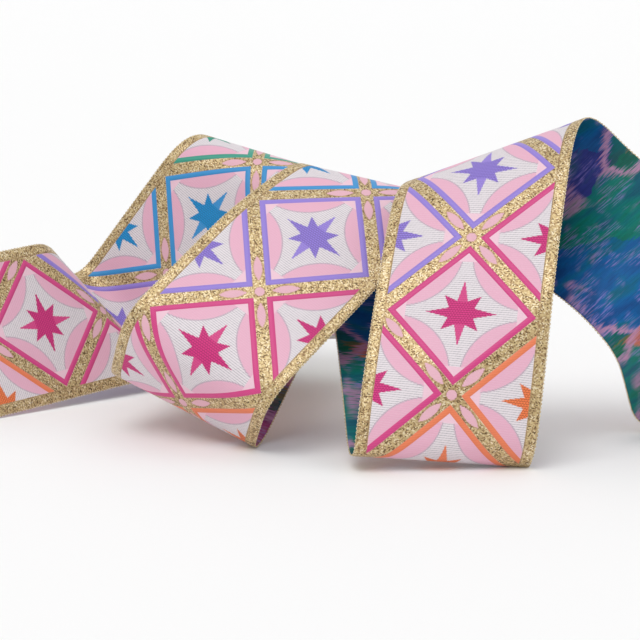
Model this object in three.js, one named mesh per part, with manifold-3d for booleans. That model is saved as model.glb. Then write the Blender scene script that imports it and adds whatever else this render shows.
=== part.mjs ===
import * as THREE from 'three';
import Module from 'manifold-3d';
import { mergeVertices } from 'three/addons/utils/BufferGeometryUtils.js';

// A woven ribbon that lies in three standing loops. It is one long strip of even width, bent but never
// stretched, so its shape is worked out by walking along its middle line and turning it at every step.

// Driving dimensions, in millimetres
const ribbonWidth = 38;
const ribbonThickness = 1.2;
const ribbonStart = -181; // along the middle line, from the front loop's upper crossing of the pattern
const ribbonEnd = 483;
const walkStep = 1;
const longestPanel = 5; // the most that two rows of points are apart
const sharpestPanel = 9; // the most degrees that the ribbon turns between them
const footDepth = 0.65; // how much of the lowest folds is flattened where they stand

// How the front loop's face is turned at 0, in degrees, from facing straight forwards
const startLean = -37.5;
const startRoll = -0.6;
const startTurn = -15.5;

// The folds, from the right tail to the left end. at: the fold's middle, in millimetres along the
// middle line. turn: how far the ribbon bends there, in degrees, positive where the patterned face is
// outside. reach: how far the bend spreads to each side of its middle. skew: how far the fold's line
// is turned from straight across, in degrees.
const folds = [
  { at: -181, turn: 0, reach: 10, skew: 0 }, // right end
  { at: -150, turn: 0, reach: 10, skew: -44 },
  { at: -139, turn: 123, reach: 14, skew: -41 }, // where the right tail comes down
  { at: -87, turn: -112, reach: 23, skew: 2 },
  { at: -37, turn: 195, reach: 35, skew: -27 }, // over the top of the front loop
  { at: -3, turn: 11, reach: 35, skew: -22 },
  { at: 30, turn: 28, reach: 12, skew: -39 },
  { at: 52, turn: 143, reach: 12, skew: 1 }, // under the front loop
  { at: 73, turn: -20, reach: 24, skew: -36 },
  { at: 108, turn: 62, reach: 10, skew: -29 },
  { at: 135, turn: 127, reach: 12, skew: -20 }, // over the top of the middle loop
  { at: 157, turn: 21, reach: 20, skew: -32 },
  { at: 202, turn: 77, reach: 10, skew: -5 },
  { at: 224, turn: 92, reach: 10, skew: -15 }, // under the middle loop
  { at: 253, turn: -55, reach: 11, skew: 22 },
  { at: 310, turn: 106, reach: 24, skew: -6 }, // up from the surface, behind the rear loop
  { at: 357, turn: 165, reach: 24, skew: -24 }, // over the top of the rear loop
  { at: 417, turn: -118, reach: 10, skew: 6 }, // the valley before the left tail
  { at: 435, turn: 65, reach: 9, skew: -31 },
  { at: 492, turn: 0, reach: 10, skew: 0 },
];

// The bend at a place, in radians for each millimetre: every fold bends the ribbon most at its middle
function curlAt(at) {
  let curl = 0;
  for (const fold of folds) {
    const share = Math.abs(at - fold.at) / fold.reach;
    if (share < 1) {
      curl += THREE.MathUtils.degToRad(fold.turn) * (1 + Math.cos(Math.PI * share)) / (2 * fold.reach);
    }
  }
  return curl;
}

// The skew at a place, in radians: it changes evenly from one fold to the next
function skewAt(at) {
  const next = Math.max(1, folds.findIndex((fold) => fold.at >= at));
  const [before, after] = [folds[next - 1], folds[next]];
  const share = (at - before.at) / (after.at - before.at);
  return THREE.MathUtils.degToRad(THREE.MathUtils.lerp(before.skew, after.skew, share));
}

// The line across the ribbon that it bends about, for a given skew
function foldLine(place, skew) {
  return place.along.clone().multiplyScalar(Math.sin(skew))
    .addScaledVector(place.across, Math.cos(skew));
}

// The place one step further along, after the ribbon has bent about its fold line there
function nextPlace(place, step, turn) {
  const axis = foldLine(place, skewAt(place.at + step / 2));
  const along = place.along.clone().applyAxisAngle(axis, turn);
  const across = place.across.clone().applyAxisAngle(axis, turn);
  const middle = place.middle.clone()
    .addScaledVector(place.along, step / 2)
    .addScaledVector(along, step / 2);
  return { at: place.at + step, middle, along, across };
}

// Walks from the start to an end, and keeps a place wherever the strip has gone far or turned enough
function walk(start, end) {
  const kept = [];
  let place = start;
  let length = 0;
  let turned = 0;
  while (place.at !== end) {
    const left = end - place.at;
    const step = Math.sign(left) * Math.min(walkStep, Math.abs(left));
    const turn = curlAt(place.at + step / 2) * step;
    place = nextPlace(place, step, turn);
    length += Math.abs(step);
    turned += Math.abs(THREE.MathUtils.radToDeg(turn));
    if (length >= longestPanel || turned >= sharpestPanel || place.at === end) {
      kept.push(place);
      length = 0;
      turned = 0;
    }
  }
  return kept;
}

// The four corners of the strip's section at a place: face left, face right, back right, back left
function sectionCorners(place) {
  const skew = skewAt(place.at);
  const reach = foldLine(place, skew).multiplyScalar(ribbonWidth / 2 / Math.cos(skew));
  const outward = place.along.clone().cross(place.across).multiplyScalar(ribbonThickness / 2);
  const left = place.middle.clone().sub(reach);
  const right = place.middle.clone().add(reach);
  return [
    left.clone().add(outward),
    right.clone().add(outward),
    right.clone().sub(outward),
    left.clone().sub(outward),
  ];
}

// One closed strip through all the places
function stripGeometry(places) {
  const corners = 4;
  const points = places.flatMap(sectionCorners);
  const faces = [];
  for (let i = 0; i + 1 < places.length; i += 1) {
    for (let k = 0; k < corners; k += 1) {
      const a = i * corners + k;
      const b = i * corners + (k + 1) % corners;
      faces.push(a, b + corners, b, a, a + corners, b + corners);
    }
  }
  const last = (places.length - 1) * corners;
  faces.push(0, 1, 2, 0, 2, 3);
  faces.push(last, last + 2, last + 1, last, last + 3, last + 2);
  const geometry = new THREE.BufferGeometry().setFromPoints(points);
  geometry.setIndex(faces);
  return geometry;
}

const wasm = await Module();
wasm.setup();

// A closed mesh as a solid that can be cut, and a solid as a mesh again
function asSolid(geometry) {
  const bare = geometry.clone();
  bare.deleteAttribute('normal');
  bare.deleteAttribute('uv');
  const merged = mergeVertices(bare);
  return new wasm.Manifold(new wasm.Mesh({
    numProp: 3,
    vertProperties: new Float32Array(merged.attributes.position.array),
    triVerts: new Uint32Array(merged.index.array),
  }));
}

function asGeometry(solid) {
  const { vertProperties, triVerts } = solid.getMesh();
  const geometry = new THREE.BufferGeometry();
  geometry.setAttribute('position', new THREE.BufferAttribute(vertProperties, 3));
  geometry.setIndex(new THREE.BufferAttribute(triVerts, 1));
  return geometry;
}

// The block of space below a height
function spaceBelow(box, height) {
  const margin = 10;
  const size = box.getSize(new THREE.Vector3()).addScalar(2 * margin);
  const block = new THREE.BoxGeometry(size.x, size.y, 2 * margin);
  const centre = box.getCenter(new THREE.Vector3());
  block.translate(centre.x, centre.y, height - margin);
  return block;
}

function ribbonGeometry() {
  const [lean, roll, turn] = [startLean, startRoll, startTurn].map(THREE.MathUtils.degToRad);
  const facing = new THREE.Euler(lean, roll, turn, 'ZYX');
  const start = {
    at: 0,
    middle: new THREE.Vector3(0, 0, 0),
    along: new THREE.Vector3(0, 0, -1).applyEuler(facing),
    across: new THREE.Vector3(1, 0, 0).applyEuler(facing),
  };
  const places = [...walk(start, ribbonStart).reverse(), start, ...walk(start, ribbonEnd)];
  const strip = stripGeometry(places);
  strip.computeBoundingBox();
  const floor = strip.boundingBox.min.z + footDepth;
  const ribbon = asGeometry(asSolid(strip).subtract(asSolid(spaceBelow(strip.boundingBox, floor))));
  ribbon.computeBoundingBox();
  const centre = ribbon.boundingBox.getCenter(new THREE.Vector3());
  ribbon.translate(-centre.x, -centre.y, -floor);
  return ribbon;
}

const weave = new THREE.MeshStandardMaterial({ name: 'weave', color: '#e3c3cf', roughness: 0.7 });
const ribbon = new THREE.Mesh(ribbonGeometry(), weave);
ribbon.name = 'ribbon';

const part = new THREE.Group();
part.add(ribbon);
export default part;
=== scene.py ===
import bpy
import numpy as np
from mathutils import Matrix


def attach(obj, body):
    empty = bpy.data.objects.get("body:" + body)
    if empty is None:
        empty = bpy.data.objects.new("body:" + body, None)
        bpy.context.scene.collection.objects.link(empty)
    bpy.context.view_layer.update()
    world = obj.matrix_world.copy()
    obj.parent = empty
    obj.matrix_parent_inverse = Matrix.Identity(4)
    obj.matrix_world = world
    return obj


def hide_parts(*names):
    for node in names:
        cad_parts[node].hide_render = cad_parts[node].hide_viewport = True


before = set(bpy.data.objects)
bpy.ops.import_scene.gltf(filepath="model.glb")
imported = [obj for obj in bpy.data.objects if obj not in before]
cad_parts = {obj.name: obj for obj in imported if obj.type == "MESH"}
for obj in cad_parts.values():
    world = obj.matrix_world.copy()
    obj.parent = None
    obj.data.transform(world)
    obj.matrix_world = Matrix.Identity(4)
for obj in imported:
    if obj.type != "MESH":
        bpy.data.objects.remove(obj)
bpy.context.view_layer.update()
print("frame loaded")

millimetre = 0.001  # in metres; lengths below are in millimetres and angles in degrees


ribbonShape = {
    "width": 38,
    "start": -181,  # places are counted along the middle line, 0 at the front loop's upper crossing
    "end": 483,
    "step": 0.5,  # between two rows of points
    "modelThickness": 1.2,
    "footDepth": 0.65,  # how much of the lowest folds is flattened where they stand
    "lean": -37.5,
    "roll": -0.6,
    "turn": -15.5,
    # a row for each fold: its place, how far it bends, its reach to each side, the skew of its line
    "folds": (
        (-181, 0, 10, 0),
        (-150, 0, 10, -44),
        (-139, 123, 14, -41),  # where the right tail comes down
        (-87, -112, 23, 2),
        (-37, 195, 35, -27),  # over the top of the front loop
        (-3, 11, 35, -22),
        (30, 28, 12, -39),
        (52, 143, 12, 1),  # under the front loop
        (73, -20, 24, -36),
        (108, 62, 10, -29),
        (135, 127, 12, -20),  # over the top of the middle loop
        (157, 21, 20, -32),
        (202, 77, 10, -5),
        (224, 92, 10, -15),  # under the middle loop
        (253, -55, 11, 22),
        (310, 106, 24, -6),  # up from the surface, behind the rear loop
        (357, 165, 24, -24),  # over the top of the rear loop
        (417, -118, 10, 6),  # the valley before the left tail
        (435, 65, 9, -31),
        (492, 0, 10, 0),
    ),
}

ribbonCloth = {
    "halfThickness": 0.17,
    "selvageFrom": 16.7,  # from the middle line to the inner side of the gold selvage
    "selvageRise": 0.05,
    "selvageStep": 0.4,  # the width over which the selvage gets its thickness
    "edgeRound": 0.25,
    "edgePoints": 5,
    "mapMargin": 20,  # from the flat map's corner to the ribbon's end and middle line
    "mapBackShift": 50,  # from the front's place on the map to the back's
}

edgeLoops = {
    "pitch": 0.85,
    "height": 0.3,
    "sunk": 0.12,  # how far inside the edge the bows start
    "threadRadius": 0.11,
    "pointsPerLoop": 6,
    "sides": 5,
}


def curlAt(at):
    # sum over the folds: each bend spread as a raised cosine, highest at the fold and 0 from its reach on
    curl = np.zeros_like(at)
    for place, bend, reach, _ in ribbonShape["folds"]:
        share = np.clip(np.abs(at - place) / reach, 0, 1)
        curl += np.radians(bend) * (1 + np.cos(np.pi * share)) / (2 * reach)
    return curl


def skewAt(at):
    # straight lines between the folds' skews
    folds = np.array(ribbonShape["folds"], float)
    return np.radians(np.interp(at, folds[:, 0], folds[:, 3]))


def rotations(axes, angles):
    # cosine times identity, plus sine times the axis's cross matrix, plus (1 - cosine) times its outer one
    x, y, z = axes.T
    zero = np.zeros_like(x)
    cross = np.stack([zero, -z, y, z, zero, -x, -y, x, zero], axis=1).reshape(-1, 3, 3)
    cosine = np.cos(angles)[:, None, None]
    outer = axes[:, :, None] * axes[:, None, :]
    return cosine * np.eye(3) + np.sin(angles)[:, None, None] * cross + (1 - cosine) * outer


def runningProduct(turns):
    # each matrix becomes the product of all up to it; every pass doubles how far back it reaches
    reach = 1
    while reach < len(turns):
        turns[reach:] = turns[:-reach] @ turns[reach:]
        reach *= 2
    return turns


def startFrame():
    # turn about Z, after roll about Y, after lean about X; the strip first runs down, facing forwards
    axes = np.eye(3)[[2, 1, 0]]
    angles = np.radians([ribbonShape["turn"], ribbonShape["roll"], ribbonShape["lean"]])
    about = rotations(axes, angles)
    along, across = np.array([0, 0, -1.0]), np.array([1.0, 0, 0])
    plain = np.stack([along, across, np.cross(along, across)], axis=1)
    return about[0] @ about[1] @ about[2] @ plain


def walkRibbon():
    # middle line and frames: each step turns the frame about its fold line and moves by the mean direction
    step = ribbonShape["step"]
    count = round((ribbonShape["end"] - ribbonShape["start"]) / step)
    at = ribbonShape["start"] + step * np.arange(count + 1)
    half = at[:-1] + step / 2
    skew = skewAt(half)
    axes = np.stack([np.sin(skew), np.cos(skew), np.zeros_like(skew)], axis=1)
    turns = np.concatenate([np.eye(3)[None], rotations(axes, curlAt(half) * step)])
    product = runningProduct(turns)
    zero = int(np.argmin(np.abs(at)))
    frames = startFrame() @ product[zero].T @ product
    along = frames[:, :, 0]
    moves = step * (along[1:] + along[:-1]) / 2
    middle = np.concatenate([np.zeros((1, 3)), np.cumsum(moves, axis=0)])
    return {"at": at, "middle": middle - middle[zero], "frames": frames, "skew": skewAt(at)}


def ribbonPoints(walk, v, height):
    # middle line, plus v along the fold line so that v is the distance across, plus height outwards
    along, across, outward = np.moveaxis(walk["frames"], 2, 0)
    ruling = across + np.tan(walk["skew"])[:, None] * along
    return walk["middle"][:, None] + v[..., None] * ruling[:, None] + height[..., None] * outward[:, None]


def settle(walk):
    # the same shift as the solid's: centred on its box, with the lowest folds pressed flat
    side = ribbonShape["width"] / 2
    v = np.array([[-side, side, side, -side]])
    height = np.array([[1, 1, -1, -1]]) * ribbonShape["modelThickness"] / 2
    corners = ribbonPoints(walk, v, height).reshape(-1, 3)
    low, high = corners.min(axis=0), corners.max(axis=0)
    shift = -(low + high) / 2
    shift[2] = -(low[2] + ribbonShape["footDepth"])
    walk["middle"] = walk["middle"] + shift
    walk["startPoint"] = shift
    return walk


def sectionProfile():
    # half of the section: flat, then a little thicker in the selvage, then a quarter ellipse at the edge
    side = ribbonShape["width"] / 2
    inner, step, rounding = (ribbonCloth[k] for k in ("selvageFrom", "selvageStep", "edgeRound"))
    quarter = np.sin(np.linspace(0, np.pi / 2, ribbonCloth["edgePoints"]))
    flat = [0, inner / 2, inner - step / 2, inner + step / 2]
    v = np.concatenate([flat, side - rounding + rounding * quarter])
    selvageShare = np.clip((v - inner + step / 2) / step, 0, 1)
    thick = ribbonCloth["halfThickness"] + ribbonCloth["selvageRise"] * selvageShare
    roundShare = np.clip((v - side + rounding) / rounding, 0, 1)
    return v, thick * np.sqrt(1 - roundShare**2)


def addMesh(name, points, faces):
    # points in millimetres; nothing goes below the surface that the ribbon lies on
    points = points.reshape(-1, 3) * millimetre
    points[:, 2] = np.maximum(points[:, 2], 0)
    mesh = bpy.data.meshes.new(name)
    mesh.from_pydata(points, [], faces)
    mesh.polygons.foreach_set("use_smooth", np.ones(len(mesh.polygons), bool))
    mesh.update()
    piece = bpy.data.objects.new(name, mesh)
    bpy.context.scene.collection.objects.link(piece)
    return piece


def ringFaces(rows, columns):
    # quads between each ring of points and the next one, all the way round
    ring = np.arange(columns)
    first = np.arange(rows - 1)[:, None] * columns
    here, beside = first + ring, first + (ring + 1) % columns
    return np.stack([here, here + columns, beside + columns, beside], axis=2).reshape(-1, 4)


def makeRibbon(walk):
    # a closed section carried along the walk: front from left to right, then the back from right to left
    v, thick = sectionProfile()
    front = np.concatenate([-v[:0:-1], v])
    frontHeight = np.concatenate([thick[:0:-1], thick])
    back, backHeight = front[-2:0:-1], -frontHeight[-2:0:-1]
    section = np.concatenate([front, back])
    height = np.concatenate([frontHeight, backHeight])
    rows, columns = len(walk["at"]), len(section)
    points = ribbonPoints(walk, section[None], height[None])
    around = ringFaces(rows, columns)
    ends = [list(range(columns)), list(range((rows - 1) * columns, rows * columns))[::-1]]
    piece = addMesh("ribbon_cloth", points, around.tolist() + ends)

    # flat map: metres along and across the uncut ribbon, the back's a step further across than the front's
    margin, backShift = ribbonCloth["mapMargin"], ribbonCloth["mapBackShift"]
    flatAlong = walk["at"][:, None] + np.tan(walk["skew"])[:, None] * section - ribbonShape["start"]
    flatAcross = np.broadcast_to(section, flatAlong.shape)
    mapped = np.stack([flatAlong + margin, flatAcross + margin], axis=2).reshape(-1, 2)
    corners = np.empty(len(piece.data.loops), int)
    piece.data.loops.foreach_get("vertex_index", corners)
    isBack = np.tile(np.arange(columns) >= len(front) - 1, rows - 1)
    shifted = np.concatenate([np.repeat(isBack, 4), np.ones(2 * columns, bool)])
    spots = (mapped[corners] + shifted[:, None] * np.array([0, backShift])) * millimetre
    piece.data.uv_layers.new(name="flat").data.foreach_set("uv", spots.ravel())
    slots = np.concatenate([isBack, [True, True]]).astype(int)
    piece.data.polygons.foreach_set("material_index", slots)
    return piece


def edgeThread(walk, side):
    # middle: along the selvage and outwards by a sine's size, one bow per pitch. Around it, rings of
    # points at the thread's radius: their angle's cosine upwards plus its sine sideways
    edge = side * ribbonShape["width"] / 2
    flat = walk["at"] + edge * np.tan(walk["skew"])
    pitch, sides = edgeLoops["pitch"], edgeLoops["sides"]
    spots = np.arange(flat[0], flat[-1], pitch / edgeLoops["pointsPerLoop"])
    at = np.interp(spots, flat, walk["at"])
    share = (at - walk["at"][0]) / ribbonShape["step"]
    low = np.minimum(share.astype(int), len(walk["at"]) - 2)
    part = (share - low)[:, None]

    def between(values):
        return values[low] * (1 - part) + values[low + 1] * part

    along, across, outward = (between(walk["frames"][:, :, k]) for k in range(3))
    slope = np.interp(at, walk["at"], np.tan(walk["skew"]))[:, None]
    bow = edgeLoops["height"] * np.abs(np.sin(np.pi * spots / pitch)) - edgeLoops["sunk"]
    v = (edge + side * bow)[:, None]
    path = between(walk["middle"]) + v * (across + slope * along)
    run = np.gradient(path, axis=0)
    run /= np.linalg.norm(run, axis=1)[:, None]
    beside = np.cross(run, outward)
    beside /= np.linalg.norm(beside, axis=1)[:, None]
    above = np.cross(beside, run)
    angle = np.linspace(0, 2 * np.pi, sides, endpoint=False)[:, None]
    offset = np.cos(angle) * above[:, None] + np.sin(angle) * beside[:, None]
    rings = path[:, None] + edgeLoops["threadRadius"] * offset
    around = ringFaces(len(path), sides)[:, ::-1]
    last = (len(path) - 1) * sides
    caps = np.stack([np.arange(sides)[::-1], last + np.arange(sides)])
    return rings.reshape(-1, 3), around, caps


def makeEdgeLoops(walk):
    # both selvages' threads in one piece
    points, faces, start = [], [], 0
    for side in (-1, 1):
        rings, around, caps = edgeThread(walk, side)
        points.append(rings)
        faces += (around + start).tolist() + (caps + start).tolist()
        start += len(rings)
    return addMesh("ribbon_edge_loops", np.concatenate(points), faces)


walk = settle(walkRibbon())
cloth = makeRibbon(walk)
loops = makeEdgeLoops(walk)
print("ribbon made:", len(cloth.data.polygons), "faces, edge loops:", len(loops.data.polygons))


def tint(red, green, blue):
    # a colour given as it shows on screen, 0 to 255, as Blender's linear values
    shown = np.array([red, green, blue]) / 255
    linear = np.where(shown <= 0.04045, shown / 12.92, ((shown + 0.055) / 1.055) ** 2.4)
    return (*linear.tolist(), 1.0)


class Wire:
    # a socket in an expression: each operator adds its Math node, and node() adds any other kind
    def __init__(self, tree, socket=None):
        self.tree = tree
        self.socket = socket

    def node(self, kind, settings=None, inputs=None, output=0):
        made = self.tree.nodes.new("ShaderNode" + kind)
        for name, value in (settings or {}).items():
            if name == "stops":
                setStops(made.color_ramp, value)
            elif name == "steps":
                setStops(made.color_ramp, value)
                made.color_ramp.interpolation = "CONSTANT"
            else:
                setattr(made, name, value)
        for name, value in (inputs or {}).items():
            if isinstance(value, Wire):
                self.tree.links.new(value.socket, made.inputs[name])
            else:
                made.inputs[name].default_value = value
        return Wire(self.tree, made.outputs[output])

    def math(self, operation, *values, clamp=False):
        settings = {"operation": operation, "use_clamp": clamp}
        return self.node("Math", settings, dict(enumerate(values)))

    def __add__(self, other):
        return self.math("ADD", self, other)

    def __sub__(self, other):
        return self.math("SUBTRACT", self, other)

    def __rsub__(self, other):
        return self.math("SUBTRACT", other, self)

    def __mul__(self, other):
        return self.math("MULTIPLY", self, other)

    def __truediv__(self, other):
        return self.math("DIVIDE", self, other)

    def __mod__(self, other):
        return self.math("FLOORED_MODULO", self, other)

    def __abs__(self):
        return self.math("ABSOLUTE", self)

    __radd__ = __add__
    __rmul__ = __mul__

    def floor(self):
        return self.math("FLOOR", self)

    def least(self, other):
        return self.math("MINIMUM", self, other)

    def most(self, other):
        return self.math("MAXIMUM", self, other)

    def root(self):
        return self.math("SQRT", self)

    def wave(self, length):
        # between 0 and 1, once up and down for each length
        return self.math("COSINE", self * (2 * np.pi / length)) * 0.5 + 0.5

    def over(self, edge, soft=0.1):
        # 1 where the value is over the edge, 0 where it is under, with a soft step between
        return self.math("MULTIPLY_ADD", self, 1 / soft, 0.5 - edge / soft, clamp=True)

    def under(self, edge, soft=0.1):
        return self.math("MULTIPLY_ADD", self, -1 / soft, 0.5 + edge / soft, clamp=True)

    def mix(self, low, high):
        # the low colour where this value is 0, the high one where it is 1; 0, 6 and 7 are the Mix node's
        # factor and its two colours
        return self.node("Mix", {"data_type": "RGBA"}, {0: self, 6: low, 7: high}, 2)


def setStops(ramp, stops):
    # stops are (place, colour) pairs; the ramp's own settings come last
    for place, colour in stops[2:]:
        ramp.elements.new(place)
    for element, (place, colour) in zip(ramp.elements, stops):
        element.position = place
        element.color = colour


def newFinish(name):
    material = bpy.data.materials.new(name)
    material.use_nodes = True
    tree = material.node_tree
    return material, Wire(tree), tree.nodes["Principled BSDF"]


def finishWith(wire, shader, links, values):
    for name, value in values.items():
        shader.inputs[name].default_value = value
    for name, value in links.items():
        wire.tree.links.new(value.socket, shader.inputs[name])


def flatPlace(wire, shift):
    # millimetres along and across the flat ribbon, from its own map
    flat = wire.node("UVMap", {"uv_map": "flat"})
    along = wire.node("SeparateXYZ", None, {0: flat}, 0)
    across = wire.node("SeparateXYZ", None, {0: flat}, 1)
    margin = ribbonCloth["mapMargin"]
    return along / millimetre + (ribbonShape["start"] - margin), across / millimetre - (margin + shift)


def vector(x, y, z=0.0):
    return x.node("CombineXYZ", None, {0: x, 1: y, 2: z})


def noise(x, y, scale, detail=1.0, layer=0.0):
    # soft noise of the given scale, between 0 and 1
    settings = {"Scale": scale, "Detail": detail, "Roughness": 0.5}
    return x.node("TexNoise", None, {"Vector": vector(x, y, layer), **settings})


def speck(x, y, layer=0.0):
    # one random value for each whole-numbered place
    return x.node("TexWhiteNoise", {"noise_dimensions": "3D"}, {"Vector": vector(x, y, layer)})


def stepped(value, step):
    # the middle of the step that the value is in
    return ((value / step).floor() + 0.5) * step


pattern = {
    "repeat": 36.3,  # from crossing to crossing, along the ribbon
    "band": 1.45,  # half of the gold band
    "outline": 1.3,
    "arcRadius": 13.2,  # of the pink lens along each side of a diamond
    "arcDepth": 3.0,
    "cornerCut": 12.1,  # from the diamond's middle to where its corners turn pink
    "seam": 0.12,  # half of the thin line along each lens
    "starLong": 7.7,
    "starShort": 5.7,
    "starInner": 3.0,
    "tipFrom": 2.7,  # from the star's middle to where its tips along the ribbon turn to plain satin
    "tipHalfWidth": 1.3,
    "petalCentre": 5.9,  # from the crossing
    "petalHalfLength": 3.1,
    "petalHalfWidth": 0.95,
    "petalRim": 0.15,  # half of its dark rim
    "dotRadius": 1.1,
    "dotRim": 0.12,
    "dotRimOut": 0.1,  # from the dot's edge to its rim's middle line
    "selvageLine": 0.16,  # half of the darker line along the selvage's inner side
    "threadAlong": 0.25,  # the steps in which the woven shapes' edges run
    "threadAcross": 0.22,
    "firstRow": -6,
    # the colours from the right end of the ribbon to the left one, a row for each diamond in the middle
    "rows": (
        "lavender", "magenta", "orange", "teal", "blue",
        "lavender", "magenta", "orange", "teal", "blue",
        "lavender", "magenta", "orange", "yellow", "green", "teal", "blue",
        "lavender", "magenta", "orange",
    ),
    "petalRow": "magenta",  # the rows with one more petal, at the left edge
}

threadColours = {
    "magenta": tint(214, 46, 128),
    "orange": tint(238, 124, 72),
    "teal": tint(4, 156, 130),
    "blue": tint(0, 145, 212),
    "lavender": tint(147, 125, 217),
    "yellow": tint(226, 184, 62),
    "green": tint(106, 172, 84),
    "white": tint(228, 220, 224),
    "whiteShade": tint(168, 164, 170),
    "pink": tint(228, 173, 195),
    "palePink": tint(236, 198, 212),
    "seam": tint(184, 160, 176),
    "petal": tint(228, 178, 192),
    "petalEdge": tint(150, 112, 62),
    # painted highlight: a pale colour that stands in for the satin's sheen
    "paintedSheen": tint(255, 236, 250),
}

sharp = 0.001  # the softness of an edge that has to be sharp
halfSide = pattern["repeat"] / np.sqrt(2) / 2  # from a diamond's middle to the middle lines of its bands
innerEdge = halfSide - pattern["band"] - pattern["outline"]  # from there to its outline's inner side


def diamondPlace(along, across):
    # a and b count repeats along the two directions of the trellis; every diamond is one square of them.
    # far and near are the larger and smaller distance from the diamond's middle, square to its sides
    a = (along + across) / pattern["repeat"]
    b = (along - across) / pattern["repeat"]
    x = abs(a % 1 - 0.5) * (2 * halfSide)
    y = abs(b % 1 - 0.5) * (2 * halfSide)
    return {"a": a, "b": b, "far": x.most(y), "near": x.least(y)}


def rowColour(row, colours):
    # the colour of a whole-numbered row, from the pattern's list: a ramp with one step for each row
    rows = pattern["rows"]
    steps = [(k / len(rows), colours[name]) for k, name in enumerate(rows)]
    place = (row - (pattern["firstRow"] - 0.5)) / len(rows)
    return row.node("ValToRGB", {"steps": steps}, {0: place})


def isRow(row, name):
    # 1 where the row has the named colour
    black, white = (0.0, 0.0, 0.0, 1.0), (1.0, 1.0, 1.0, 1.0)
    return rowColour(row, {other: white if other == name else black for other in pattern["rows"]})


def starEdge(far, near):
    # under 0 inside an eight-pointed star: the lesser distance from its two kinds of edge.
    # wide and slim are the distances along and off the line from the star's middle to its nearest tip
    wide = (far + near) * np.sqrt(0.5)
    slim = (far - near) * np.sqrt(0.5)
    longTip = np.array([pattern["starLong"], 0])
    shortTip = pattern["starShort"] * np.array([1, 1]) * np.sqrt(0.5)
    notch = pattern["starInner"] * np.array([np.cos(np.pi / 8), np.sin(np.pi / 8)])
    edges = []
    for start, end in ((longTip, notch), (shortTip, notch)):
        run = (end - start) / np.linalg.norm(end - start)
        normal = np.array([-run[1], run[0]])
        normal = normal if normal @ notch > 0 else -normal
        edges.append(wide * normal[0] + slim * normal[1] - float(normal @ notch))
    return edges[0].least(edges[1]), wide, slim


goldThread = {
    "along": 0.24,
    "across": 0.3,
    "sway": 0.9,  # the scale of the noise that bends the rows of stitches
    "swayAlong": 0.8,  # in stitches
    "swayAcross": 1.1,
    "rowShift": 0.37,  # in stitches, from one row to the next
    "patch": 0.35,  # the scale of the slow changes in brightness
    "patchDetail": 2.0,
    "stitchShare": 0.8,  # how much of the brightness each stitch and each patch gives
    "patchShare": 0.34,
    "darker": 0.06,
    "dark": tint(100, 78, 46),
    "shade": tint(164, 133, 94),
    "base": tint(195, 170, 122),
    "light": tint(214, 192, 144),
    # painted highlight: this tint stands in for light caught by the metal thread
    "paintedGlint": tint(242, 228, 198),
    # brightness and the tint that it gives
    "stops": (
        (0.0, "dark"),
        (0.14, "dark"),
        (0.28, "shade"),
        (0.5, "base"),
        (0.76, "light"),
        (0.94, "paintedGlint"),
    ),
    "roughness": 0.44,
    "metallic": 0.4,
    "rimDepth": 0.7,  # of the dark rim round the petals
    "lineDepth": 0.6,  # of the darker line along the selvage
}


def goldWeave(wire, along, across):
    # flat metal thread: each stitch a random brightness, with dark gaps and bright glints; the brightest
    # stitches are painted glints, highlights on the metal
    sway = noise(along, across, goldThread["sway"])
    row = (along / goldThread["along"] + sway * goldThread["swayAlong"]).floor()
    column = across / goldThread["across"] + row * goldThread["rowShift"]
    column = (column + sway * goldThread["swayAcross"]).floor()
    chance = speck(row, column)
    patch = noise(along, across, goldThread["patch"], goldThread["patchDetail"])
    bright = chance * goldThread["stitchShare"] + patch * goldThread["patchShare"] - goldThread["darker"]
    stops = [(place, goldThread[name]) for place, name in goldThread["stops"]]
    colour = wire.node("ValToRGB", {"stops": stops}, {0: bright})
    return {"colour": colour, "chance": chance, "stitch": speck(row, column, 7.0)}


groundThread = {
    "lineStep": 0.5,  # between the fine grey lines
    "lineFrom": 0.7,  # the height of the lines' wave at a line's edge, and the softness there
    "lineSoft": 0.5,
    "dashStep": 0.8,  # between the dashes that a line is made of
    "dashShift": 0.37,  # in dashes, from one line to the next
    "dashHalf": 0.36,  # in dashes
    "dashSoft": 0.2,
    "dashChance": 0.5,  # how much of a dash's depth is left to chance
    "gapDepth": 0.2,  # how deep a line is between its dashes
    "pinkLines": 0.45,  # how strongly the lines show on the pink
    "seamDepth": 0.9,
}


def greyLines(along, across):
    # fine lines across the ribbon: the peaks of a wave, times dashes of random depth
    lineRow = (along / groundThread["lineStep"]).floor()
    place = across / groundThread["dashStep"] + lineRow * groundThread["dashShift"]
    chance, gap = groundThread["dashChance"], groundThread["gapDepth"]
    depth = speck(lineRow, place.floor()) * chance + (1 - chance)
    dash = abs(place % 1 - 0.5).under(groundThread["dashHalf"], groundThread["dashSoft"]) * depth
    peak = along.wave(groundThread["lineStep"]).over(groundThread["lineFrom"], groundThread["lineSoft"])
    return peak * (dash * (1 - gap) + gap)


def groundColour(woven, line):
    # white, with pink corners and a pink lens along each side, where a circle centred outside the diamond
    # reaches into it, and with a thin seam along the lens
    far, near = woven["far"], woven["near"]
    arcMiddle = innerEdge - pattern["arcDepth"] + pattern["arcRadius"]
    arc = ((far - arcMiddle) * (far - arcMiddle) + near * near).root() - pattern["arcRadius"]
    corner = (far + near) * np.sqrt(0.5)
    cornerArea = corner.over(pattern["cornerCut"])
    white = line.mix(threadColours["white"], threadColours["whiteShade"])
    lens = (line * groundThread["pinkLines"]).mix(threadColours["pink"], threadColours["palePink"])
    pink = cornerArea.mix(lens, threadColours["palePink"])
    seam = abs(arc - pattern["seam"]).under(pattern["seam"]) * corner.under(pattern["cornerCut"])
    ground = arc.under(0.0).most(cornerArea).mix(white, pink)
    return (seam * groundThread["seamDepth"]).mix(ground, threadColours["seam"])


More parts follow.
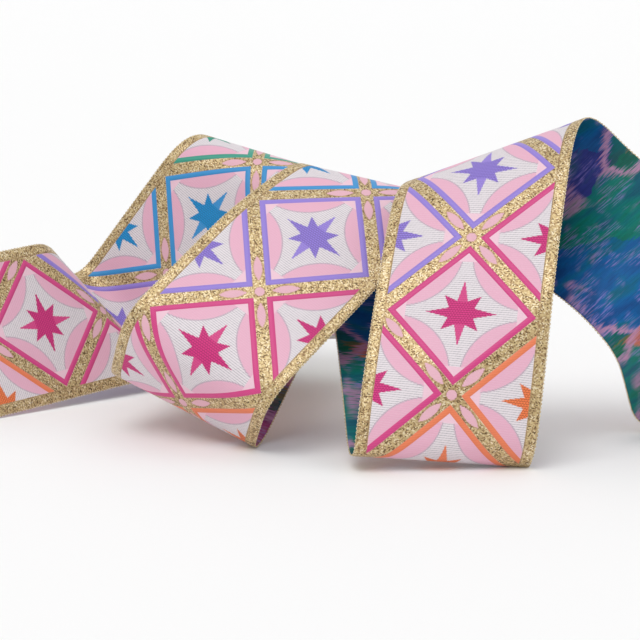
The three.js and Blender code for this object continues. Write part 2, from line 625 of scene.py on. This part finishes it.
satinThread = {
    "stitch": 0.36,
    "stitchShade": 0.22,
    "knurlAlong": 0.5,  # between the rows of dents in the stars
    "knurlAcross": 0.62,
    "knurlHalf": 0.27,  # in dents, across the ribbon
    "knurlSoft": 0.24,
    "knurlFrom": 0.4,  # the height of the rows' wave at a dent's edge, and the softness there
    "knurlWaveSoft": 0.6,
    "knurlShade": 0.9,
    "tipSmooth": 0.6,  # how much of the knurl is missing on the satin tips
    # how much of the painted sheen colour goes into the satin outline and the smooth tips
    "paintedSheen": 0.04,
    # painted shade: the knurl's dents are coloured as a darker copy of the thread's colour
    "dentShadeValue": 0.4,  # of the thread's colour, in the dents
    "dentShadeSaturation": 1.05,
}


def starAreas(woven, along, across):
    # the star, its smooth tips along the ribbon, and the dents of its knurl, set like bricks
    star, wide, slim = starEdge(woven["far"], woven["near"])
    alongTips = ((woven["a"] % 1 - 0.5) * (woven["b"] % 1 - 0.5)).over(0.0, sharp)
    tip = alongTips * wide.over(pattern["tipFrom"]) * slim.under(pattern["tipHalfWidth"])
    step = satinThread["knurlAlong"]
    brick = (across / satinThread["knurlAcross"] + (along / step).floor() * 0.5) % 1 - 0.5
    dent = abs(brick).under(satinThread["knurlHalf"], satinThread["knurlSoft"])
    rows = along.wave(step).over(satinThread["knurlFrom"], satinThread["knurlWaveSoft"])
    star = star.under(0.0)
    return star, tip, dent * rows * (1 - tip * satinThread["tipSmooth"]) * star


def flowerAreas(woven, row):
    # a dot at each crossing on the middle line and a petal on each band from it: a lens of two arcs.
    # outBand and downBand are the distances off the band's middle line and from the crossing
    a, b = woven["a"], woven["b"]
    outBand, downBand = halfSide - woven["far"], halfSide - woven["near"]
    dotEdge = (outBand * outBand + downBand * downBand).root() - pattern["dotRadius"]
    length, width = pattern["petalHalfLength"], pattern["petalHalfWidth"]
    radius = (length**2 + width**2) / (2 * width)
    fromPetal, lift = downBand - pattern["petalCentre"], outBand + (radius - width)
    petalEdge = (fromPetal * fromPetal + lift * lift).root() - radius

    # which crossing is nearest: one on the middle line, or the one at the left edge with its single petal
    nearA, nearB = (a + 0.5).floor(), (b + 0.5).floor()
    offA, offB = a - nearA, b - nearB
    middle = abs(nearA - nearB).under(0.5)
    left = abs(nearB - nearA - 1).under(0.5)
    single = left * offA.over(0.0, sharp) * (abs(offA) - abs(offB)).over(0.0, sharp)
    shown = middle.most(single * isRow(row, pattern["petalRow"]))

    petal = (petalEdge.under(0.0) * shown).most(dotEdge.under(0.0) * middle)
    petalRim = abs(petalEdge - pattern["petalRim"]).under(pattern["petalRim"]) * shown
    dotRim = abs(dotEdge - pattern["dotRimOut"]).under(pattern["dotRim"]) * middle
    return petal, petalRim.most(dotRim)


# how far each thing stands up; the knurl's dents and the lines lie deeper instead
relief = {
    "outline": 0.17,
    "outlineStitch": 0.02,
    "star": 0.05,
    "knurl": 0.06,
    "line": 0.03,
    "gold": 0.05,
    "goldStitch": 0.07,
    "petal": 0.09,
    "strength": 0.8,  # of the bump that these heights make
}

frontGloss = {
    "roughness": 0.55,
    "outlineSmooth": 0.12,  # how much less rough the satin outline is
    "specular": 0.4,
    "sheen": 0.08,
}


def frontFinish():
    material, wire, shader = newFinish("woven front")
    along, across = flatPlace(wire, 0)
    woven = diamondPlace(stepped(along, pattern["threadAlong"]), stepped(across, pattern["threadAcross"]))
    smooth = diamondPlace(along, across)  # the bands and outlines have edges without steps
    row = smooth["a"].floor()
    colour = rowColour(row, threadColours)

    # the ground, then the star and the outline in the row's colour
    line = greyLines(along, across)
    star, tip, knurl = starAreas(woven, along, across)
    outline = smooth["far"].over(innerEdge) * smooth["far"].under(halfSide - pattern["band"])
    raised = star.most(outline)
    stitch = along.wave(satinThread["stitch"])
    dentShadeValues = {"Value": satinThread["dentShadeValue"], "Saturation": satinThread["dentShadeSaturation"]}
    dentShadeColour = wire.node("HueSaturation", None, {"Color": colour, **dentShadeValues})
    # painted shade: the row's colour goes darker in the knurl's dents and between the outline's stitches
    shade = (knurl * satinThread["knurlShade"]).most(outline * stitch * satinThread["stitchShade"])
    # painted sheen: the satin outline and the smooth tips are tinted a little towards a pale highlight
    # colour
    withPaintedSheen = (outline.most(tip) * satinThread["paintedSheen"]).mix(colour, threadColours["paintedSheen"])
    surface = raised.mix(groundColour(woven, line), shade.mix(withPaintedSheen, dentShadeColour))

    # the gold trellis with its flowers, and the selvages
    gold = goldWeave(wire, along, across)
    petal, rim = flowerAreas(woven, row)
    dark = rim * goldThread["rimDepth"] * gold["chance"]
    trellis = petal.mix(dark.mix(gold["colour"], threadColours["petalEdge"]), threadColours["petal"])
    band = smooth["far"].over(halfSide - pattern["band"])
    surface = band.mix(surface, trellis)
    offMiddle, inner = abs(across), ribbonCloth["selvageFrom"]
    selvage = offMiddle.over(inner)
    selvageLine = abs(offMiddle - inner).under(pattern["selvageLine"])
    selvageColour = (selvageLine * goldThread["lineDepth"]).mix(gold["colour"], goldThread["shade"])
    surface = selvage.most(selvageLine).mix(surface, selvageColour)

    # height: the outline swells as a parabola, and every other part has its own step
    metal = (band * (1 - petal)).most(selvage)
    notMetal = 1 - metal
    fromMiddle = smooth["far"] - (innerEdge + pattern["outline"] / 2)
    swell = (1 - fromMiddle * fromMiddle * (4 / pattern["outline"] ** 2)).most(0.0) * outline
    height = (
        swell * notMetal * relief["outline"]
        + stitch * outline * notMetal * relief["outlineStitch"]
        + star * notMetal * relief["star"]
        - knurl * relief["knurl"]
        - line * notMetal * (1 - raised) * relief["line"]
        + metal * (gold["stitch"] * relief["goldStitch"] + relief["gold"])
        + petal * (1 - selvage) * relief["petal"]
    )
    bump = {"Strength": relief["strength"], "Distance": millimetre, "Height": height}
    normal = wire.node("Bump", None, bump)
    metallic = metal * goldThread["metallic"]
    plain = frontGloss["roughness"]
    roughness = metal * (goldThread["roughness"] - plain) + plain
    roughness = roughness - outline * notMetal * frontGloss["outlineSmooth"]
    links = {"Base Color": surface, "Metallic": metallic, "Roughness": roughness, "Normal": normal}
    gloss = {"Specular IOR Level": frontGloss["specular"], "Sheen Weight": frontGloss["sheen"]}
    finishWith(wire, shader, links, gloss)
    return material


reverse = {
    "magenta": tint(190, 70, 128),
    "orange": tint(206, 112, 70),
    "teal": tint(0, 122, 112),
    "blue": tint(0, 96, 158),
    "lavender": tint(52, 58, 138),
    "yellow": tint(150, 140, 60),
    "mauve": tint(184, 134, 168),
    "lilac": tint(150, 130, 206),
    "navy": tint(18, 40, 104),
    "green": tint(8, 92, 60),
    "ringRadius": 6.4,  # of the mauve rings round the crossings at the ribbon's edges
    "ringHalfWidth": 1.1,
    "ringInside": 1.8,  # from the ring's middle line to the green inside it
    "brush": 8.0,  # how far the loose threads carry a colour across
    "driftAlong": 9,  # how far the shapes wander
    "driftAcross": 6,
    "stitch": 0.36,
    "threadLength": 3.2,
    # the wave part is painted shade between the stitches; the chance part is each thread's own tone
    "waveShare": 0.4,  # how much of the threads' brightness is a wave; the rest is chance
    "contrast": 0.36,
    "darkest": 0.84,
    "roughness": 0.55,
    "specular": 0.2,
    "relief": 0.05,  # of the stitches, and of the streaks
    "streakRelief": 0.06,
    "bumpStrength": 0.7,
}

# for each noise of the reverse: how much it is squeezed along and across, its scale, detail and layer
reverseNoise = {
    "brush": (2.6, 0.16, 1.0, 3.0, 0.0),
    "drift": (1.0, 1.0, 0.11, 2.0, 0.0),
    "patch": (0.5, 0.2, 0.45, 3.0, 4.0),
    "streak": (2.4, 0.22, 1.1, 3.0, 9.0),
    "cluster": (1.0, 1.0, 0.16, 1.0, 15.0),
}

# for each layer of loose threads: where its edge lies, how soft that is, and how strongly the layer shows
reverseLayers = {
    "navyPatch": (0.46, 0.2, 0.55),
    "greenPatch": (0.56, 0.16, 0.5),
    "cluster": (0.52, 0.12, 1.0),
    "lilacStreak": (0.56, 0.14, 0.55),
    "star": (0.4, 1.6, 1.0),
    "starStreak": (0.4, 0.16, 0.65),
    "ring": (reverse["ringHalfWidth"], 1.6, 0.85),
    "ringInside": (reverse["ringRadius"] - reverse["ringInside"], 1.0, 0.7),
}


def looseNoise(name, along, across):
    # soft noise, drawn out into threads where it is squeezed more along than across
    squeezeAlong, squeezeAcross, scale, detail, layer = reverseNoise[name]
    return noise(along * squeezeAlong, across * squeezeAcross, scale, detail, layer)


def layerOver(value, name):
    # how strongly a layer shows where the value is over its edge; layerUnder is the opposite
    edge, soft, strength = reverseLayers[name]
    return value.over(edge, soft) * strength


def layerUnder(value, name):
    edge, soft, strength = reverseLayers[name]
    return value.under(edge, soft) * strength


def backFinish():
    material, wire, shader = newFinish("woven reverse")
    along, across = flatPlace(wire, ribbonCloth["mapBackShift"])
    repeat = pattern["repeat"]

    # the loose threads run across, so each one ends at another place: the shapes' edges are brushed out
    brushed = looseNoise("brush", along, across) - 0.5
    drift = looseNoise("drift", along, across) - 0.5
    movedAlong = along + drift * reverse["driftAlong"]
    movedAcross = across + brushed * reverse["brush"] + drift * reverse["driftAcross"]
    moved = diamondPlace(movedAlong, movedAcross)
    crossing = (movedAlong / repeat + 0.5).floor()
    behind = crossing * 2 - 1 - moved["a"].floor()  # the other of the two colours that are woven here
    surface = rowColour(behind, reverse)

    # deeper patches, then lilac streaks in clusters, and mauve threads behind the stars there
    patch = looseNoise("patch", along, across)
    surface = layerUnder(patch, "navyPatch").mix(surface, reverse["navy"])
    surface = layerOver(patch, "greenPatch").mix(surface, reverse["green"])
    streak = looseNoise("streak", along, across)
    cluster = layerOver(looseNoise("cluster", along, across), "cluster")
    surface = (cluster * layerOver(streak, "lilacStreak")).mix(surface, reverse["lilac"])
    star = layerUnder(starEdge(moved["far"], moved["near"])[0], "star")
    surface = (star * cluster * layerOver(streak, "starStreak")).mix(surface, reverse["mauve"])

    # mauve diamond rings round the crossings at the edges, green inside
    edgeAlong = abs((movedAlong / repeat) % 1 - 0.5) * repeat
    ring = edgeAlong + abs(repeat / 2 - abs(movedAcross))
    surface = layerUnder(abs(ring - reverse["ringRadius"]), "ring").mix(surface, reverse["mauve"])
    surface = layerUnder(ring, "ringInside").mix(surface, reverse["green"])

    # single threads, by stitches along the ribbon and lengths of thread across it: the wave darkens the
    # colour between the stitches, where the bump makes grooves, as painted shade, and the chance gives each
    # length of thread its own tone
    stitch = reverse["stitch"]
    threads = speck((along / stitch).floor(), (across / reverse["threadLength"]).floor())
    share = reverse["waveShare"]
    fine = along.wave(stitch) * share + threads * (1 - share)
    value = fine * reverse["contrast"] + reverse["darkest"]
    surface = wire.node("HueSaturation", None, {"Color": surface, "Value": value})
    height = fine * reverse["relief"] + streak * reverse["streakRelief"]
    bump = {"Strength": reverse["bumpStrength"], "Distance": millimetre, "Height": height}
    normal = wire.node("Bump", None, bump)
    links = {"Base Color": surface, "Normal": normal}
    gloss = {"Roughness": reverse["roughness"], "Specular IOR Level": reverse["specular"]}
    finishWith(wire, shader, links, gloss)
    return material


edgeGold = {
    "glintSize": 0.4,
    # chance and the tint that it gives
    "stops": (
        (0.0, "base"),
        (0.4, "light"),
        (0.9, "paintedGlint"),
    ),
    "roughness": 0.4,
    "metallic": 0.45,
}


def edgeFinish():
    # every small cube of the Object coordinates, output 3, gets its own tint of gold by chance; the
    # lightest tints are painted glints, highlights on the metal thread
    material, wire, shader = newFinish("gold edge thread")
    place = wire.node("TexCoord", None, None, 3)
    scale = 1 / (edgeGold["glintSize"] * millimetre)
    cubes = wire.node("VectorMath", {"operation": "SCALE"}, {0: place, "Scale": scale})
    cube = wire.node("VectorMath", {"operation": "FLOOR"}, {0: cubes})
    chance = wire.node("TexWhiteNoise", {"noise_dimensions": "3D"}, {"Vector": cube})
    stops = [(step, goldThread[name]) for step, name in edgeGold["stops"]]
    colour = wire.node("ValToRGB", {"stops": stops}, {0: chance})
    gloss = {"Roughness": edgeGold["roughness"], "Metallic": edgeGold["metallic"]}
    finishWith(wire, shader, {"Base Color": colour}, gloss)
    return material


cloth.data.materials.append(frontFinish())
cloth.data.materials.append(backFinish())
loops.data.materials.append(edgeFinish())
print("finishes made")


studio = {
    # the floor's lengths are in metres
    "floorHalfSize": 6.0,
    "floorBend": 4.8,  # how far back it starts to rise
    "sweepFrom": 0.05,  # past the bend
    "sweepTo": 1.2,
    "sweepRise": 1.6,  # height at one metre past the bend
    "floorRows": 12,  # before the bend, and past it
    "floorColumns": 9,
    "floorColour": (0.93, 0.93, 0.93, 1.0),
    "floorRoughness": 0.9,
    "worldColour": (1.0, 1.0, 1.0, 1.0),
    "worldStrength": 0.62,
    # name, elevation and direction that the light comes from in degrees, its strength and softness
    "lights": (
        ("key", 58, -120, 1.05, 38),
        ("fill", 40, -30, 0.35, 60),
        ("back", 55, 80, 0.3, 60),
    ),
}

view = {
    "toStart": (32.74, 571.46, -83.23),  # from the camera to the pattern's crossing at place 0
    "pitchDown": 10.05,
    "lens": 150.4,
    "sensor": 36.0,
}


def makeFloor():
    # a flat square that sweeps up far behind: height is the square of the way past the bend, times the rise
    size, bend, rows = studio["floorHalfSize"], studio["floorBend"], studio["floorRows"]
    sweep = bend + np.linspace(studio["sweepFrom"], studio["sweepTo"], rows)
    back = np.concatenate([np.linspace(-size, bend, rows), sweep])
    x, y = np.meshgrid(np.linspace(-size, size, studio["floorColumns"]), back)
    z = np.maximum(y - bend, 0) ** 2 * studio["sweepRise"]
    points = np.stack([x, y, z], axis=2)
    rows, columns = z.shape
    corner = (np.arange(rows - 1)[:, None] * columns + np.arange(columns - 1)).ravel()
    faces = np.stack([corner, corner + 1, corner + columns + 1, corner + columns], axis=1)
    piece = addMesh("floor", points / millimetre, faces.tolist())
    material, wire, shader = newFinish("pale floor")
    gloss = {"Base Color": studio["floorColour"], "Roughness": studio["floorRoughness"]}
    finishWith(wire, shader, {}, gloss)
    piece.data.materials.append(material)
    return piece


def makeLights():
    world = bpy.data.worlds.new("studio")
    world.use_nodes = True
    sky = world.node_tree.nodes["Background"]
    sky.inputs["Color"].default_value = studio["worldColour"]
    sky.inputs["Strength"].default_value = studio["worldStrength"]
    bpy.context.scene.world = world
    for name, elevation, direction, strength, softness in studio["lights"]:
        lamp = bpy.data.lights.new(name, "SUN")
        lamp.energy = strength
        lamp.angle = np.radians(softness)
        lampObject = bpy.data.objects.new(name, lamp)
        lampObject.rotation_euler = np.radians((90 - elevation, 0, direction + 90))
        bpy.context.scene.collection.objects.link(lampObject)


def makeCamera(walk):
    camera = bpy.data.cameras.new("camera")
    camera.lens = view["lens"]
    camera.sensor_width = view["sensor"]
    cameraObject = bpy.data.objects.new("camera", camera)
    cameraObject.location = (walk["startPoint"] - np.array(view["toStart"])) * millimetre
    cameraObject.rotation_euler = (np.radians(90 - view["pitchDown"]), 0, 0)
    bpy.context.scene.collection.objects.link(cameraObject)
    bpy.context.scene.camera = cameraObject


floor = makeFloor()
makeLights()
makeCamera(walk)
bpy.context.scene.view_settings.view_transform = "Standard"
print("stage made")


for piece in (cloth, loops):
    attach(piece, "root")
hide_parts("ribbon")
